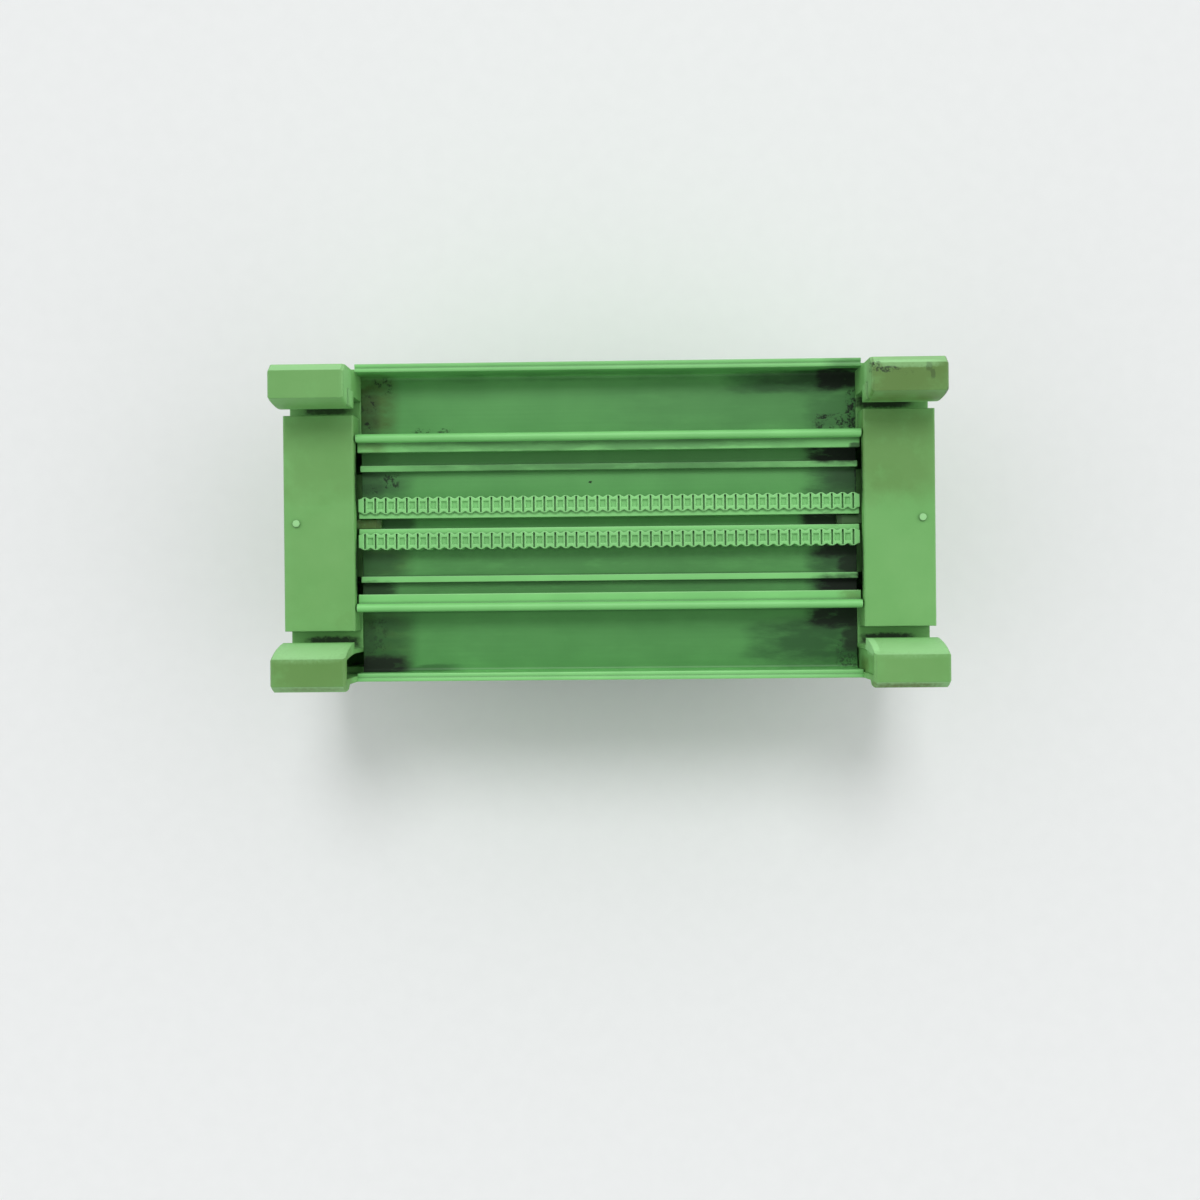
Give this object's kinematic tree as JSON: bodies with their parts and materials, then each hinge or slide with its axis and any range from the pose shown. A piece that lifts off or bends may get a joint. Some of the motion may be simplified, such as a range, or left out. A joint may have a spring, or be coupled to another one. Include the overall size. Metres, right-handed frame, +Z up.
{
  "type": "termination board",
  "caption": "Rail-mounted termination board: extruded pale-green carrier with notched ribs, rail-hook ends, a circuit board, screw terminals and a latched flat-cable header.",
  "frame": {"origin": "middle of the foot of the part's box, on the plane of the terminal tops that it lies on", "axes": "+Z up, out of the rail side; X along the extruded carrier; Y across it, towards the fixed hooks"},
  "size_m": [0.0922, 0.046, 0.0351],
  "materials": {
    "carrier_plastic": "pale green, extruded",
    "moulded_plastic": "pale green, moulded",
    "board_laminate": "green solder mask",
    "terminal_plastic": "green, moulded",
    "contact_metal": "tinned",
    "screw_steel": "zinc plated",
    "header_plastic": "grey, moulded",
    "pin_metal": "plated",
    "latch_plastic": "black, moulded"
  },
  "bodies": {
    "carrier": {"base_profile": "carrier_plastic", "left_side_element": "moulded_plastic", "right_side_element": "moulded_plastic", "circuit_board": "board_laminate", "terminal_block_a1": "terminal_plastic", "terminal_block_a2": "terminal_plastic", "terminal_block_a3": "terminal_plastic", "terminal_block_a4": "terminal_plastic", "terminal_block_a5": "terminal_plastic", "terminal_block_b1": "terminal_plastic", "terminal_block_b2": "terminal_plastic", "terminal_block_b3": "terminal_plastic", "terminal_block_b4": "terminal_plastic", "terminal_block_b5": "terminal_plastic", "terminal_contacts_row_a": "contact_metal", "terminal_contacts_row_b": "contact_metal", "clamp_screws_row_a": "screw_steel", "clamp_screws_row_b": "screw_steel", "header_shell": "header_plastic", "header_pins": "pin_metal"},
    "left_latch": {"latch_left": "latch_plastic"},
    "right_latch": {"latch_right": "latch_plastic"}
  },
  "joints": [
    {"name": "left_latch_swing", "type": "hinge", "parent": "carrier", "child": "left_latch", "pos_m": [-0.017, 0.00047, 0.0124], "axis": [0, 1, 0], "range_deg": [0, 50]},
    {"name": "right_latch_swing", "type": "hinge", "parent": "carrier", "child": "right_latch", "pos_m": [0.017, 0.00047, 0.0124], "axis": [0, -1, 0], "range_deg": [0, 50]}
  ]
}
